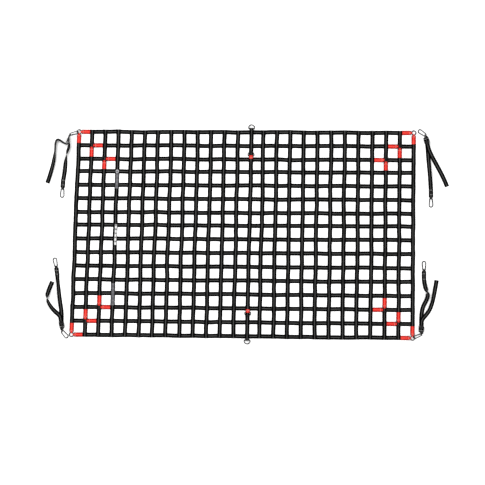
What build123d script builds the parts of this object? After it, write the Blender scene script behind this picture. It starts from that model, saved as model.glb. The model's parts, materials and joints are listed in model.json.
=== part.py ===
from build123d import *
from math import asin, atan2, cos, degrees, hypot, pi, radians, sin, sqrt, tan
import os

# A flat webbing cargo net with sewn rings and four cam buckle tie-down straps.
# Origin: middle of the net's outline, on the surface that it lies on.
# +X runs along the long side, +Y across it, +Z up. Millimetres and degrees.

os.makedirs("parts", exist_ok=True)

# --- webbing -------------------------------------------------------------
WEB_WIDTH = 32.0
WEB_THICK = 1.8
PLAY = 0.15

# --- net: where its four corner rings lie, and how its bays are spaced ----
CORNERS = {
    "top_left": (-1240.0, 779.0),
    "top_right": (1300.0, 770.0),
    "bottom_left": (-1300.0, -760.0),
    "bottom_right": (1290.0, -787.85),
}
COLUMN_BAYS = 25
ROW_BAYS = 15
COLUMN_DRIFT = 0.028
ROW_DRIFT = 0.015
SHORT_COLUMN_BAYS = {13: 0.88}
SHORT_ROW_BAYS = {2: 0.92, 6: 0.92}
MIDDLE_COLUMN = 13

# --- heights of the layers -----------------------------------------------
ROW_FLOOR = 0.0
COLUMN_FLOOR = WEB_THICK
NET_TOP = 2 * WEB_THICK

# --- rings ----------------------------------------------------------------
RING_RADIUS = 16.0
RING_WIRE = 3.2
SLEEVE_IN = RING_WIRE + 0.1
SLEEVE_OUT = SLEEVE_IN + WEB_THICK
CORNER_GRIP = 24.0
INNER_GRIP = 36.0
RING_CLEAR = RING_RADIUS + RING_WIRE + 0.3
RIM_START = RING_RADIUS + SLEEVE_OUT + 1.0
ARM_GATHERED = 20.0
ARM_RUN = 46.0
FREE_RING_HEIGHT = SLEEVE_OUT + 0.05
INNER_RING_HEIGHT = NET_TOP + SLEEVE_OUT + 0.05

# --- snap hooks -------------------------------------------------------------
HOOK_WIRE = 3.0
HOOK_HALF_BASE = 10.0
HOOK_BASE_CORNER = 4.0
HOOK_NOSE = 14.0
HOOK_REACH = 50.0
NOSE_START = -75.0
STUB_LENGTH = 9.6
GATE_PIVOT = 13.0
GATE_WIRE = 2.75
TONGUE_HALF = 1.2
TONGUE_ROUND = 2.6
RIVET = 1.2
GATE_OPENING = 25.0

# A hook that is snapped on a ring leans on one side, under and over the ring's wire.
LINKED_ROLL = 45.0
LINKED_HEIGHT = 13.0
LINKED_OFFSET = 22.0

# --- cam buckles ------------------------------------------------------------
BAR_WIRE = 2.5
BAR_HEIGHT = 4.5
PLATE_MID = 3.2
PLATE_THICK = 2.5
PLATE_NOSE = 11.0
PLATE_END = 38.0
CHEEK_IN = 17.0
CHEEK_OUT = 19.5
CAM_X = 26.0
CAM_Z = 13.0
PIN_WIRE = 2.0
CAM_TIP = 6.3
CAM_BODY = 5.2
LEVER_ANGLE = 25.0
LEVER_REACH = 24.0

# --- D rings ----------------------------------------------------------------
DEE_WIRE = 3.0
DEE_HALF = 21.0
DEE_RISE = 30.0
DEE_OFFSET = 28.0


def bay_edges(bays, drift, short):
    """Fractions along a side where the crossing straps lie, from 0 to 1."""
    middle = (bays - 1) / 2
    widths = [short.get(i, 1.0) * (1 + drift * (i - middle) / middle) for i in range(bays)]
    edges = [0.0]
    for width in widths:
        edges.append(edges[-1] + width / sum(widths))
    return edges


COLUMN_EDGES = bay_edges(COLUMN_BAYS, COLUMN_DRIFT, SHORT_COLUMN_BAYS)
ROW_EDGES = bay_edges(ROW_BAYS, ROW_DRIFT, SHORT_ROW_BAYS)


def net_point(column, row):
    """Middle of the crossing of a column and a row, counted from the top left."""
    u = COLUMN_EDGES[column]
    v = ROW_EDGES[row]
    weights = {
        "top_left": (1 - u) * (1 - v),
        "top_right": u * (1 - v),
        "bottom_left": (1 - u) * v,
        "bottom_right": u * v,
    }
    x = sum(weights[name] * CORNERS[name][0] for name in weights)
    y = sum(weights[name] * CORNERS[name][1] for name in weights)
    return Vector(x, y, 0)


def heading(start, end):
    return degrees(atan2(end.Y - start.Y, end.X - start.X))


def flat_plane(point, angle, height):
    """Level plane at a point, its x axis turned to an angle in plan."""
    turn = radians(angle)
    return Plane(
        origin=(point.X, point.Y, height),
        x_dir=(cos(turn), sin(turn), 0),
        z_dir=(0, 0, 1),
    )


def side_plane(plane):
    """Upright plane through the same origin, holding the x axis and the normal."""
    return Plane(origin=plane.origin, x_dir=plane.x_dir, z_dir=-plane.y_dir)


def hook_plane(x, y, height, angle, roll=0.0, dip=0.0):
    """Plane of a hook: bar at the origin, nose along x, rolled about x, dipped at the nose."""
    turn = radians(angle)
    fall = radians(dip)
    lean = radians(roll)
    along = Vector(cos(turn) * cos(fall), sin(turn) * cos(fall), -sin(fall))
    across = Vector(-sin(turn), cos(turn), 0)
    up = along.cross(across)
    normal = up * cos(lean) - across * sin(lean)
    return Plane(origin=(x, y, height), x_dir=along, z_dir=normal)


def corner_radii(points):
    """Fillet radius at each inner point of a route, from its two runs and its turn."""
    radii = []
    for before, here, after in zip(points, points[1:], points[2:]):
        run_in = Vector(*here) - Vector(*before)
        run_out = Vector(*after) - Vector(*here)
        turn = radians(run_in.get_angle(run_out))
        radii.append(0.45 * min(run_in.length, run_out.length) / tan(turn / 2))
    return radii


def save(part, name):
    part.label = name
    export_step(part, f"parts/{name}.step")


def place(part, plane, name):
    """Write a copy of a finished piece at a plane."""
    with BuildPart() as placed:
        with Locations(plane):
            add(part)
    save(placed.part, name)


# --- net straps ------------------------------------------------------------
def net_strap(start, end, floor, trim_start, trim_end):
    """Flat strap between two crossings, shortened (or run on) at each end."""
    angle = heading(start, end)
    length = (end - start).length - trim_start - trim_end
    with BuildPart() as strap:
        with BuildSketch(flat_plane(start, angle, floor)):
            with Locations((trim_start + length / 2, 0)):
                Rectangle(length, WEB_WIDTH)
        extrude(amount=WEB_THICK)
    return strap.part


def net_straps():
    last_column = COLUMN_BAYS
    last_row = ROW_BAYS
    rims = {
        "top_rim_strap": ((0, 0), (last_column, 0), ROW_FLOOR),
        "bottom_rim_strap": ((0, last_row), (last_column, last_row), ROW_FLOOR),
        "left_rim_strap": ((0, 0), (0, last_row), COLUMN_FLOOR),
        "right_rim_strap": ((last_column, 0), (last_column, last_row), COLUMN_FLOOR),
    }
    for name, (start, end, floor) in rims.items():
        strap = net_strap(net_point(*start), net_point(*end), floor, RIM_START, RIM_START)
        save(strap, name)
    run_on = -WEB_WIDTH / 2
    with BuildPart() as rows:
        for row in range(1, last_row):
            add(net_strap(net_point(0, row), net_point(last_column, row), ROW_FLOOR, run_on, run_on))
    save(rows.part, "lengthwise_straps")
    with BuildPart() as columns:
        for column in range(1, last_column):
            start = net_point(column, 0)
            end = net_point(column, last_row)
            add(net_strap(start, end, COLUMN_FLOOR, run_on, run_on))
    save(columns.part, "crosswise_straps")


# --- rings and the marker webbing that holds them ---------------------------
def round_ring(center):
    with BuildPart() as ring:
        with BuildSketch(Plane(origin=center, x_dir=(1, 0, 0), z_dir=(0, -1, 0))):
            with Locations((RING_RADIUS, 0)):
                Circle(RING_WIRE)
        revolve(axis=Axis(center, (0, 0, 1)))
    return ring.part


def marker_arm(center, end, floor, grip):
    """Webbing arm that wraps a ring's wire and runs down to the strap that it is sewn on."""
    angle = heading(center, end)
    height = center.Z
    length = hypot(end.X - center.X, end.Y - center.Y) - WEB_WIDTH / 2 - 1.0
    start_floor = max(-WEB_THICK, floor - height)
    arm_plane = flat_plane(center, angle, height)
    first = flat_plane(center, angle - grip, height)
    half = WEB_WIDTH / 2
    gathered = ARM_GATHERED / 2
    with BuildPart() as arm:
        with BuildSketch(side_plane(arm_plane)):
            Polygon(
                (RING_CLEAR, start_floor),
                (ARM_RUN, floor - height),
                (length, floor - height),
                (length, floor - height + 2 * WEB_THICK),
                (ARM_RUN, floor - height + 2 * WEB_THICK),
                (RING_CLEAR, start_floor + 2 * WEB_THICK),
                align=None,
            )
        extrude(amount=half, both=True)
        with BuildSketch(arm_plane.offset(-height)):
            Polygon(
                (RING_CLEAR, gathered),
                (ARM_RUN, half),
                (length, half),
                (length, -half),
                (ARM_RUN, -half),
                (RING_CLEAR, -gathered),
                align=None,
            )
        extrude(amount=3 * height, mode=Mode.INTERSECT)
        with BuildSketch(side_plane(first)):
            with Locations((RING_RADIUS, 0)):
                Circle(SLEEVE_OUT)
                Circle(SLEEVE_IN, mode=Mode.SUBTRACT)
        revolve(axis=Axis(center, (0, 0, 1)), revolution_arc=2 * grip)
    return arm.part


def corner_rings_and_markers():
    ring_heights = {
        "top_left": LINKED_HEIGHT,
        "top_right": FREE_RING_HEIGHT,
        "bottom_left": FREE_RING_HEIGHT,
        "bottom_right": LINKED_HEIGHT,
    }
    inner_rings = []
    for name, corner_height in ring_heights.items():
        from_left = name.endswith("left")
        from_top = name.startswith("top")
        column_step = 1 if from_left else -1
        row_step = 1 if from_top else -1
        column = 0 if from_left else COLUMN_BAYS
        row = 0 if from_top else ROW_BAYS
        with BuildPart() as markers:
            for size_step in range(3):
                at_corner = size_step == 0
                here = net_point(column, row)
                height = corner_height if at_corner else INNER_RING_HEIGHT
                grip = CORNER_GRIP if at_corner else INNER_GRIP
                center = Vector(here.X, here.Y, height)
                add(marker_arm(center, net_point(column + column_step, row), COLUMN_FLOOR, grip))
                add(marker_arm(center, net_point(column, row + row_step), NET_TOP, grip))
                if at_corner:
                    save(round_ring(center), f"corner_ring_{name}")
                else:
                    inner_rings.append(center)
                column += column_step
                row += row_step
        save(markers.part, f"red_markers_{name}")
    with BuildPart() as sizing_rings:
        for center in inner_rings:
            add(round_ring(center))
    save(sizing_rings.part, "sizing_rings")


# --- a webbing loop round a bar ----------------------------------------------
def web_loop(wire, bar_width, tail_width, reach):
    """Doubled webbing that wraps a bar at the origin and runs back along -x."""
    inner = wire + PLAY
    outer = inner + WEB_THICK
    wedge = min(3.2 * outer, reach - 2)
    inner_wedge = wedge - 3
    neck_start = 0.5 * reach
    with BuildPart() as loop:
        with BuildSketch(Plane.XZ):
            Circle(outer)
            Polygon(
                (0, -outer),
                (0, outer),
                (-wedge, 2 * WEB_THICK - outer),
                (-reach, 2 * WEB_THICK - outer),
                (-reach, -outer),
                align=None,
            )
            Circle(inner, mode=Mode.SUBTRACT)
            Polygon((0, -inner), (0, inner), (-inner_wedge, -inner), align=None, mode=Mode.SUBTRACT)
        extrude(amount=tail_width / 2, both=True)
        with BuildSketch(Plane.XY.offset(-outer)):
            Polygon(
                (outer, bar_width / 2),
                (-outer - 2, bar_width / 2),
                (-outer - neck_start, tail_width / 2),
                (-reach, tail_width / 2),
                (-reach, -tail_width / 2),
                (-outer - neck_start, -tail_width / 2),
                (-outer - 2, -bar_width / 2),
                (outer, -bar_width / 2),
                align=None,
            )
        extrude(amount=2 * outer, mode=Mode.INTERSECT)
    return loop.part


def loop_rise(wire):
    """Height of a bar's middle above the surface that its webbing loop lies on."""
    return wire + PLAY + WEB_THICK


# --- D rings on the middle column ---------------------------------------------
def dee_ring():
    with BuildPart() as dee:
        with BuildLine() as path:
            Line((0, -DEE_HALF), (0, DEE_HALF))
            ThreePointArc((0, DEE_HALF), (DEE_RISE, 0), (0, -DEE_HALF))
            fillet(path.vertices(), radius=5.5)
        wire = path.wires()[0]
        with BuildSketch(Plane(origin=wire @ 0, z_dir=wire % 0)):
            Circle(DEE_WIRE)
        sweep(path=wire)
    return dee.part


def dee_rings_and_tabs():
    ring = dee_ring()
    tab = web_loop(DEE_WIRE, WEB_WIDTH, WEB_WIDTH, DEE_OFFSET + WEB_WIDTH / 2)
    places = {
        "top_outer": (0, 1, True),
        "top_inner": (2, 1, False),
        "bottom_inner": (ROW_BAYS - 2, -1, False),
        "bottom_outer": (ROW_BAYS, -1, True),
    }
    rise = NET_TOP + loop_rise(DEE_WIRE)
    tab_parts = {"black_ring_tabs": [], "red_ring_tabs": []}
    for name, (row, outward, outside) in places.items():
        crossing = net_point(MIDDLE_COLUMN, row)
        drop = rise - DEE_WIRE - 0.1 if outside else rise - DEE_WIRE - NET_TOP - 0.1
        dip = degrees(asin(drop / DEE_RISE))
        y = crossing.Y + outward * DEE_OFFSET
        place(ring, hook_plane(crossing.X, y, rise, 90 * outward, dip=dip), f"dee_ring_{name}")
        key = "black_ring_tabs" if outside else "red_ring_tabs"
        tab_parts[key].append(hook_plane(crossing.X, y, rise, 90 * outward))
    for name, planes in tab_parts.items():
        with BuildPart() as tabs:
            for plane in planes:
                with Locations(plane):
                    add(tab)
        save(tabs.part, name)


# --- labels sewn on the fourth column -------------------------------------------
def labels():
    sizes = {
        "size_label": (0.235, 24.0, 136.0),
        "care_label": (0.505, 22.0, 160.0),
        "maker_label": (0.800, 24.0, 170.0),
    }
    column = 3
    top = net_point(column, 0)
    bottom = net_point(column, ROW_BAYS)
    for name, (share, width, length) in sizes.items():
        middle = top + (bottom - top) * share
        with BuildPart() as label:
            with BuildSketch(flat_plane(middle, heading(top, bottom), NET_TOP)):
                RectangleRounded(length, width, 1.5)
            extrude(amount=0.5)
        save(label.part, name)


# --- snap hook, lying in its own plane: bar on the y axis, nose along +x ----------
def side_tilt():
    """Angle of the hook's straight sides to its x axis."""
    span = hypot(HOOK_REACH, HOOK_HALF_BASE)
    return degrees(asin(HOOK_NOSE / span) - atan2(HOOK_HALF_BASE, HOOK_REACH))


def gate_side_point(distance):
    """Point on the gate's side, measured from the corner of the base."""
    tilt = radians(side_tilt())
    return Vector(distance * cos(tilt), -HOOK_HALF_BASE - distance * sin(tilt), 0)


def hook_body():
    tilt = side_tilt()
    side = sqrt(HOOK_REACH**2 + HOOK_HALF_BASE**2 - HOOK_NOSE**2)
    tangent = (side * cos(radians(tilt)), HOOK_HALF_BASE + side * sin(radians(tilt)))
    stub = gate_side_point(STUB_LENGTH)
    pivot = gate_side_point(GATE_PIVOT)
    with BuildPart() as body:
        with BuildLine() as path:
            CenterArc((HOOK_REACH, 0), HOOK_NOSE, NOSE_START, 90 + tilt - NOSE_START)
            FilletPolyline(
                tangent,
                (0, HOOK_HALF_BASE),
                (0, -HOOK_HALF_BASE),
                (stub.X, stub.Y),
                radius=HOOK_BASE_CORNER,
            )
        wire = path.wires()[0]
        with BuildSketch(Plane(origin=wire @ 0, z_dir=wire % 0)):
            Circle(HOOK_WIRE)
        sweep(path=wire)
        tongue_plane = Plane(
            origin=(pivot.X, pivot.Y, -TONGUE_HALF),
            x_dir=(cos(radians(tilt)), -sin(radians(tilt)), 0),
            z_dir=(0, 0, 1),
        )
        with BuildSketch(tongue_plane):
            Circle(TONGUE_ROUND)
            with Locations((-2.5, 0)):
                Rectangle(5, 2 * TONGUE_ROUND)
        extrude(amount=2 * TONGUE_HALF)
        with BuildSketch(tongue_plane):
            Circle(RIVET + 0.1)
        extrude(amount=2 * TONGUE_HALF, mode=Mode.SUBTRACT)
    return body.part


def hook_gate():
    """Gate with its rivet, from the hinge at the base side to just short of the nose."""
    pivot = gate_side_point(GATE_PIVOT)
    nose_turn = radians(NOSE_START)
    nose = Vector(HOOK_REACH + HOOK_NOSE * cos(nose_turn), HOOK_NOSE * sin(nose_turn), 0)
    along = (nose - pivot).normalized()
    length = (nose - pivot).length - 1.6
    rod_start = TONGUE_ROUND + 1.6
    cheek_in = TONGUE_HALF + 0.15
    gate_plane = Plane(origin=pivot, x_dir=along, z_dir=(0, 0, 1))
    rod_plane = Plane(origin=pivot + along * rod_start, z_dir=along)
    with BuildPart() as gate:
        with BuildSketch(rod_plane):
            Circle(GATE_WIRE)
        extrude(amount=length - rod_start)
        for side in (cheek_in, -GATE_WIRE):
            with BuildSketch(gate_plane.offset(side)):
                Circle(TONGUE_ROUND)
                with Locations((TONGUE_ROUND, 0)):
                    Rectangle(2 * TONGUE_ROUND, 2 * TONGUE_ROUND)
            extrude(amount=GATE_WIRE - cheek_in)
        with BuildSketch(gate_plane.offset(-GATE_WIRE)):
            Circle(RIVET)
        extrude(amount=2 * GATE_WIRE)
    return gate.part


# --- cam buckle: front bar over the origin, straps leave along +x -------------------
def buckle_frame():
    plate_length = PLATE_END - PLATE_NOSE
    cheek_profile = [
        (-3.5, 1.5), (4.0, 0.6), (36.0, 0.6), (38.0, 3.0), (38.0, 8.0),
        (30.0, 17.0), (22.0, 17.0), (4.0, 8.0), (-3.5, 7.5),
    ]
    with BuildPart() as frame:
        with BuildSketch(Plane.XY.offset(PLATE_MID - PLATE_THICK / 2)):
            with Locations((PLATE_NOSE + plate_length / 2, 0)):
                Rectangle(plate_length, 2 * CHEEK_IN)
        extrude(amount=PLATE_THICK)
        with BuildSketch(Plane.XZ):
            with Locations((PLATE_NOSE, PLATE_MID)):
                Circle(PLATE_THICK / 2)
            with Locations((0, BAR_HEIGHT)):
                Circle(BAR_WIRE)
        extrude(amount=CHEEK_IN, both=True)
        for side in (CHEEK_IN, -CHEEK_OUT):
            with BuildSketch(Plane.XZ.offset(side)):
                Polygon(*cheek_profile, align=None)
                with Locations((CAM_X, CAM_Z)):
                    Circle(PIN_WIRE + 0.05, mode=Mode.SUBTRACT)
            extrude(amount=CHEEK_OUT - CHEEK_IN)
    return frame.part


def cam_lever():
    """Toothed cam over the webbing, with a thumb plate that slopes up behind it."""
    lift = radians(LEVER_ANGLE)
    along = (cos(lift), sin(lift))
    up = (-sin(lift), cos(lift))
    thumb = [
        (CAM_X + along[0] * run + up[0] * rise, CAM_Z + along[1] * run + up[1] * rise)
        for run, rise in ((0, -1.2), (LEVER_REACH, 1.2), (LEVER_REACH, 3.6), (0, 4.4))
    ]
    teeth = []
    for tooth in range(4):
        for radius, turn in ((CAM_BODY - 0.4, -122 + 17 * tooth), (CAM_TIP, -114 + 17 * tooth)):
            teeth.append((CAM_X + radius * cos(radians(turn)), CAM_Z + radius * sin(radians(turn))))
    with BuildPart() as lever:
        with BuildSketch(Plane.XZ.offset(-15.8)):
            with Locations((CAM_X, CAM_Z)):
                Circle(CAM_BODY)
            Polygon((CAM_X, CAM_Z), *teeth, align=None)
            Polygon(*thumb, align=None)
            with Locations((CAM_X, CAM_Z)):
                Circle(PIN_WIRE + 0.1, mode=Mode.SUBTRACT)
        extrude(amount=27.0)
    return lever.part


def cam_pin():
    """Axle through both cheeks, and the torsion spring beside the cam."""
    with BuildPart() as pin:
        with BuildSketch(Plane.XZ.offset(-CHEEK_OUT - 1)):
            with Locations((CAM_X, CAM_Z)):
                Circle(PIN_WIRE)
        extrude(amount=2 * CHEEK_OUT + 2)
        with BuildSketch(Plane.XZ.offset(11.6)):
            with Locations((CAM_X, CAM_Z)):
                Circle(4.2)
                Circle(PIN_WIRE + 0.3, mode=Mode.SUBTRACT)
        extrude(amount=4.8)
    return pin.part


# --- tie-down straps -----------------------------------------------------------
# Each strap: hook (bar place, heading, roll), buckle (front bar place, heading, edge-on or
# flat), the end hook, and the routes of its long leg and its free tail. Stretches that
# stand on edge come first, then those that lie flat.
def radial_bar(corner, angle):
    """Bar of a hook that is snapped on a corner ring, out along an angle."""
    x, y = CORNERS[corner]
    reach = LINKED_OFFSET + HOOK_REACH
    return x + reach * cos(radians(angle)), y + reach * sin(radians(angle))


STRAPS = {
    "tl": {
        "linked": ("top_left", 196.0),
        "buckle": (-1314.0, 741.0, -90.0),
        "on_edge": True,
        "leg_edge": [(-1314.9, 705.0), (-1315.5, 665.0), (-1334.0, 623.0), (-1338.0, 589.0)],
        "leg": [(-1342.9, 547.3), (-1347.0, 507.0), (-1353.0, 457.0), (-1362.5, 409.0)],
        "end_hook": (-1367.0, 345.0, -94.0),
        "tail_edge": [
            (-1319.5, 705.0), (-1323.0, 684.0), (-1347.0, 685.0), (-1374.0, 705.0),
            (-1399.0, 719.0), (-1414.0, 712.0), (-1421.0, 693.0), (-1422.0, 673.0),
        ],
        "tail": [(-1424.1, 631.1), (-1430.0, 563.0), (-1452.0, 475.0), (-1482.0, 390.0)],
    },
    "tr": {
        "hook": (1389.0, 753.0, 145.0),
        "buckle": (1393.0, 730.0, -76.0),
        "on_edge": False,
        "leg": [(1401.7, 695.1), (1414.0, 635.0), (1421.0, 545.0), (1427.0, 423.0), (1431.0, 333.0)],
        "end_hook": (1431.0, 271.0, -90.0),
        "tail": [(1410.9, 658.2), (1430.0, 601.0), (1478.0, 503.0), (1530.0, 411.0), (1553.0, 363.0)],
    },
    "bl": {
        "hook": (-1371.0, -734.0, -50.5),
        "buckle": (-1370.0, -705.0, 100.0),
        "on_edge": False,
        "leg": [
            (-1376.3, -669.5), (-1378.0, -599.0), (-1385.0, -495.0), (-1397.0, -373.0), (-1407.0, -299.0),
        ],
        "end_hook": (-1416.0, -243.0, 100.0),
        "tail": [
            (-1382.9, -632.1), (-1398.0, -610.0), (-1430.0, -585.0), (-1466.0, -535.0),
            (-1484.0, -481.0), (-1469.0, -417.0), (-1445.0, -359.0),
        ],
    },
    "br": {
        "linked": ("bottom_right", 22.0),
        "buckle": (1357.0, -738.0, 88.0),
        "on_edge": False,
        "leg": [
            (1358.3, -702.0), (1356.0, -629.0), (1368.0, -552.0), (1398.0, -499.0),
            (1408.0, -452.0), (1384.0, -397.0), (1378.0, -338.0),
        ],
        "end_hook": (1378.0, -269.0, 90.0),
        "tail": [
            (1359.6, -664.0), (1380.0, -631.0), (1412.0, -597.0),
            (1438.0, -537.0), (1461.0, -441.0), (1474.0, -349.0),
        ],
    },
}

TAIL_REST = WEB_THICK + PLAY
TAIL_RAMP = 36.0
EDGE_MIDDLE = CHEEK_OUT + 1.2
TWIST_MIDDLE = 13.0


def buckle_plane(strap):
    """Plane of a buckle's underside; a buckle on edge has its lever toward -X."""
    x, y, angle = strap["buckle"]
    if strap["on_edge"]:
        return Plane(origin=(x, y, EDGE_MIDDLE), x_dir=(0, -1, 0), z_dir=(-1, 0, 0))
    return flat_plane(Vector(x, y, 0), angle, 0)


def hook_a_plane(strap):
    rise = loop_rise(HOOK_WIRE)
    if "linked" in strap:
        corner, angle = strap["linked"]
        x, y = radial_bar(corner, angle)
        return hook_plane(x, y, LINKED_HEIGHT, angle + 180, roll=LINKED_ROLL)
    x, y, angle = strap["hook"]
    return hook_plane(x, y, rise, angle, dip=HOOK_DIP)


HOOK_DIP = degrees(asin((loop_rise(HOOK_WIRE) - HOOK_WIRE - 0.05) / (HOOK_REACH + HOOK_NOSE)))


def anchor_loop(hook_at, buckle_at):
    """Short webbing that joins the first hook to the buckle's front bar."""
    hook_loop = web_loop(HOOK_WIRE, 11.0, 11.0, 12.0)
    buckle_loop = web_loop(BAR_WIRE, 28.0, 28.0, 11.0)
    bar_plane = buckle_at.offset(BAR_HEIGHT)
    hook_drop = WEB_THICK - loop_rise(HOOK_WIRE)
    buckle_drop = WEB_THICK - loop_rise(BAR_WIRE)
    start = hook_at.from_local_coords(Vector(-9.5, 0, hook_drop))
    end = bar_plane.from_local_coords(Vector(-9.0, 0, buckle_drop))
    with BuildPart() as anchor:
        with Locations(hook_at):
            add(hook_loop)
        with Locations(bar_plane):
            add(buckle_loop)
        with BuildSketch(Plane(origin=start, z_dir=end - start)):
            Circle(WEB_THICK)
        extrude(amount=(end - start).length)
    return anchor.part


def ribbon(points, floor, width, height):
    """Run of webbing along a route in plan, its corners rounded; prints what it measures."""
    radii = corner_radii(points)
    with BuildPart() as run:
        with BuildLine() as path:
            FilletPolyline(*points, radius=radii)
        with BuildSketch(Plane.XY.offset(floor)):
            trace(path.edges(), line_width=width)
        extrude(amount=height)
    length = path.wires()[0].length
    share = run.part.volume / (length * width * height)
    print("run", round(length), "mm, radii", [round(r) for r in radii], "volume share", round(share, 4))
    return run.part


def twist(start, end, floor):
    """Quarter turn of the webbing, from on edge at start to flat at end."""
    along = Vector(*end) - Vector(*start)
    across = Vector(-along.Y, along.X, 0).normalized()
    up = Vector(0, 0, 1)
    flat_middle = floor + WEB_THICK / 2
    stations = (
        (-0.03, 90.0, EDGE_MIDDLE),
        (0.0, 90.0, EDGE_MIDDLE),
        (0.5, 45.0, TWIST_MIDDLE),
        (1.0, 0.0, flat_middle),
        (1.03, 0.0, flat_middle),
    )
    with BuildPart() as turn:
        for share, roll, height in stations:
            middle = Vector(*start) + along * share + up * height
            lean = radians(roll)
            wide = across * cos(lean) + up * sin(lean)
            with BuildSketch(Plane(origin=middle, x_dir=wide, z_dir=along)):
                Rectangle(WEB_WIDTH, WEB_THICK)
        loft(ruled=True)
    return turn.part


def buckle_turn(on_edge):
    """Webbing inside a buckle: in under the plate, round its nose, back over it."""
    turn_out = PLATE_MID
    turn_in = PLATE_MID - WEB_THICK
    straight = PLATE_END - PLATE_NOSE + (0.0 if on_edge else 2.0)
    ramp_start = PLATE_NOSE + straight
    with BuildPart() as turn:
        with BuildSketch(Plane.XZ):
            with Locations((PLATE_NOSE, PLATE_MID)):
                Circle(turn_out)
            with Locations((PLATE_NOSE + straight / 2, PLATE_MID)):
                Rectangle(straight, 2 * turn_out)
            with Locations((PLATE_NOSE, PLATE_MID)):
                Circle(turn_in, mode=Mode.SUBTRACT)
            with Locations((PLATE_NOSE + straight / 2 + 1, PLATE_MID)):
                Rectangle(straight + 2, 2 * turn_in, mode=Mode.SUBTRACT)
            if not on_edge:
                Polygon(
                    (ramp_start, PLATE_MID + turn_in),
                    (ramp_start + TAIL_RAMP, TAIL_REST),
                    (ramp_start + TAIL_RAMP, TAIL_REST + WEB_THICK),
                    (ramp_start, PLATE_MID + turn_out),
                    align=None,
                )
        extrude(amount=WEB_WIDTH / 2, both=True)
    return turn.part


def webbing(strap, buckle_at, end_at):
    """Long leg from the end hook, the turn in the buckle, and the free tail."""
    end_loop = web_loop(HOOK_WIRE, 11.0, WEB_WIDTH, 70.0)
    turn = buckle_turn(strap["on_edge"])
    with BuildPart() as web:
        with Locations(end_at):
            add(end_loop)
        with Locations(buckle_at):
            add(turn)
        for key, floor in (("leg", 0.0), ("tail", TAIL_REST)):
            add(ribbon(strap[key], floor, WEB_WIDTH, WEB_THICK))
            if strap["on_edge"]:
                edge = strap[key + "_edge"]
                add(ribbon(edge, EDGE_MIDDLE - WEB_WIDTH / 2, WEB_THICK, WEB_WIDTH))
                add(twist(edge[-1], strap[key][0], floor))
    return web.part


def tie_down_straps():
    body = hook_body()
    gate = hook_gate()
    frame = buckle_frame()
    lever = cam_lever()
    pin = cam_pin()
    for name, strap in STRAPS.items():
        buckle_at = buckle_plane(strap)
        hook_at = hook_a_plane(strap)
        rise = loop_rise(HOOK_WIRE)
        x, y, angle = strap["end_hook"]
        end_at = hook_plane(x, y, rise, angle, dip=HOOK_DIP)
        level_end = hook_plane(x, y, rise, angle)
        level_hook = hook_at
        if "hook" in strap:
            x, y, angle = strap["hook"]
            level_hook = hook_plane(x, y, rise, angle)
        place(body, hook_at, f"{name}_hook")
        place(gate, hook_at, f"{name}_hook_gate")
        place(body, end_at, f"{name}_end_hook")
        place(gate, end_at, f"{name}_end_hook_gate")
        place(frame, buckle_at, f"{name}_buckle_frame")
        place(lever, buckle_at, f"{name}_cam_lever")
        place(pin, buckle_at, f"{name}_cam_pin")
        save(anchor_loop(level_hook, buckle_at), f"{name}_anchor_loop")
        web = webbing(strap, buckle_at, level_end)
        save(web, f"{name}_webbing")
        print(name, "webbing in", len(web.solids()), "solid")


net_straps()
corner_rings_and_markers()
dee_rings_and_tabs()
labels()
tie_down_straps()
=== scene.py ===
import json
from math import cos, pi, radians, sin

import bpy
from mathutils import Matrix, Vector, noise


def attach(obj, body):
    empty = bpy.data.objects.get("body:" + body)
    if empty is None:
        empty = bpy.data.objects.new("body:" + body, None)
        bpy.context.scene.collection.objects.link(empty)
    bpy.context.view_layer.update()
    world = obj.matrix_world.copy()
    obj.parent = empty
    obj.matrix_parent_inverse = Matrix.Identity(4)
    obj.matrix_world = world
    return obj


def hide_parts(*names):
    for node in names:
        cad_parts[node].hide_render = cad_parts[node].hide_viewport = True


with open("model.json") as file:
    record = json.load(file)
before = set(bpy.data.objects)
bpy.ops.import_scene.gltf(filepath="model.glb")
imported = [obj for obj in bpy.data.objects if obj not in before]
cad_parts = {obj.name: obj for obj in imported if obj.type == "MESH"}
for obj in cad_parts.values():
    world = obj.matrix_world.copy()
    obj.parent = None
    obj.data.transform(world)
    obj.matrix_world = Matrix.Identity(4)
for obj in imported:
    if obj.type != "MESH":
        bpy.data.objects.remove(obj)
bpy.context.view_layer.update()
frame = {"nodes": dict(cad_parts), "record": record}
scene = bpy.context.scene
UP = Vector((0, 0, 1))
# The vector noise starts from the clock unless it is seeded.
NOISE_SEED = 1794954068
noise.seed_set(NOISE_SEED)

# --- sizes, in metres, as the frame has them ---
WEB = 0.032
THICK = 0.0018
HALF = WEB / 2
CORNERS = {
    "top_left": Vector((-1.240, 0.779, 0)),
    "top_right": Vector((1.300, 0.770, 0)),
    "bottom_left": Vector((-1.300, -0.760, 0)),
    "bottom_right": Vector((1.290, -0.78785, 0)),
}
COLUMNS = 25
ROWS = 15
COLUMN_DRIFT = 0.028
ROW_DRIFT = 0.015
SHORT_COLUMN_BAYS = {13: 0.88}
SHORT_ROW_BAYS = {2: 0.92, 6: 0.92}
MIDDLE_COLUMN = 13
LABEL_COLUMN = 3
TAB_ROW = 2
RING_RADIUS = 0.016
RING_WIRE = 0.0032
FREE_RING_Z = 0.00515
HOOKED_RING_Z = 0.013
INNER_RING_Z = 0.00875
RIM_START = 0.0221
DEE_OFFSET = 0.028
DEE_BAR_Z = 0.00855
HOOK_WIRE = 0.003
BAR_WIRE = 0.0025
HOOK_BAR_Z = 0.00495
EDGE_Z = 0.0207


# --- small geometry helpers ---
def smoothstep(value):
    """Eases from 0 to 1, and holds outside."""
    value = max(0.0, min(1.0, value))
    return value * value * (3 - 2 * value)


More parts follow.
